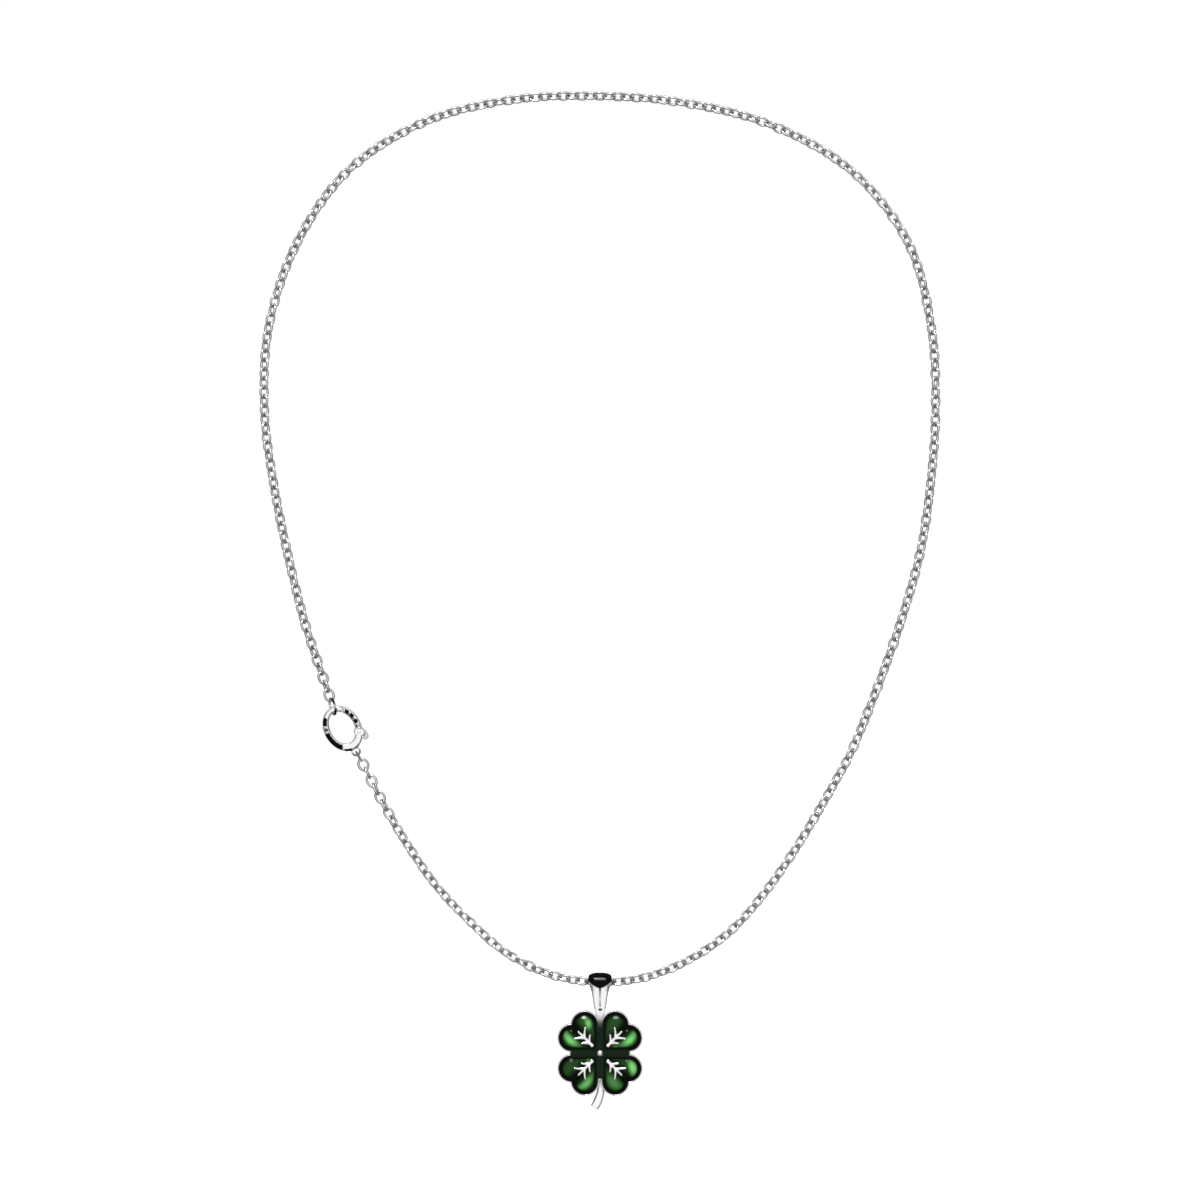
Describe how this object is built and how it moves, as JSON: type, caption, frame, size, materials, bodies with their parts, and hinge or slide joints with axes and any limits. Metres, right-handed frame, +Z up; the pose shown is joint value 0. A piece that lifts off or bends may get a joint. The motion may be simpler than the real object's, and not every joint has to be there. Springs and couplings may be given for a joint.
{
  "type": "clover pendant necklace",
  "caption": "Four-leaf clover pendant of silver with green and black enamel, hanging by a tapered bail on a closed silver chain with an oval lever clasp.",
  "frame": {"origin": "middle of the chain at the top of the hanging loop, where a neck carries it", "axes": "+Z up, -Y towards the front of the clover, +X to the right seen from the front; the loop lies in the XZ plane"},
  "size_m": [0.1361, 0.0038, 0.2035],
  "materials": {
    "chain_silver": "polished drawn silver wire, slightly darkened between the links",
    "ring_silver": "polished silver wire",
    "clasp_silver": "polished cast silver with blackened pockets",
    "pin_silver": "polished silver pin, filed flush",
    "cast_silver": "polished cast silver, blackened over the top of the bail and in its groove",
    "black_enamel": "glossy black enamel",
    "green_enamel": "glossy, domed translucent green enamel"
  },
  "bodies": {
    "necklace": {"chain": "chain_silver", "end_ring": "ring_silver", "jump_ring": "ring_silver", "clasp_body": "clasp_silver", "clasp_pin": "pin_silver"},
    "lever": {"clasp_lever": "clasp_silver"},
    "pendant": {"clover_frame": "cast_silver", "rim_enamel": "black_enamel", "leaf_enamel_upper_right": "green_enamel", "leaf_enamel_upper_left": "green_enamel", "leaf_enamel_lower_left": "green_enamel", "leaf_enamel_lower_right": "green_enamel"}
  },
  "joints": [
    {"name": "pendant_swing", "type": "hinge", "parent": "necklace", "child": "pendant", "pos_m": [0, 0, -0.1772], "axis": [1, 0, 0], "range_deg": [-90, 90]},
    {"name": "lever_swing", "type": "hinge", "parent": "necklace", "child": "lever", "pos_m": [-0.04816, 0, -0.1272], "axis": [0, -1, 0], "range_deg": [0, 25], "stiffness_Nm_per_rad": 0.002, "springref_deg": -11.46}
  ]
}
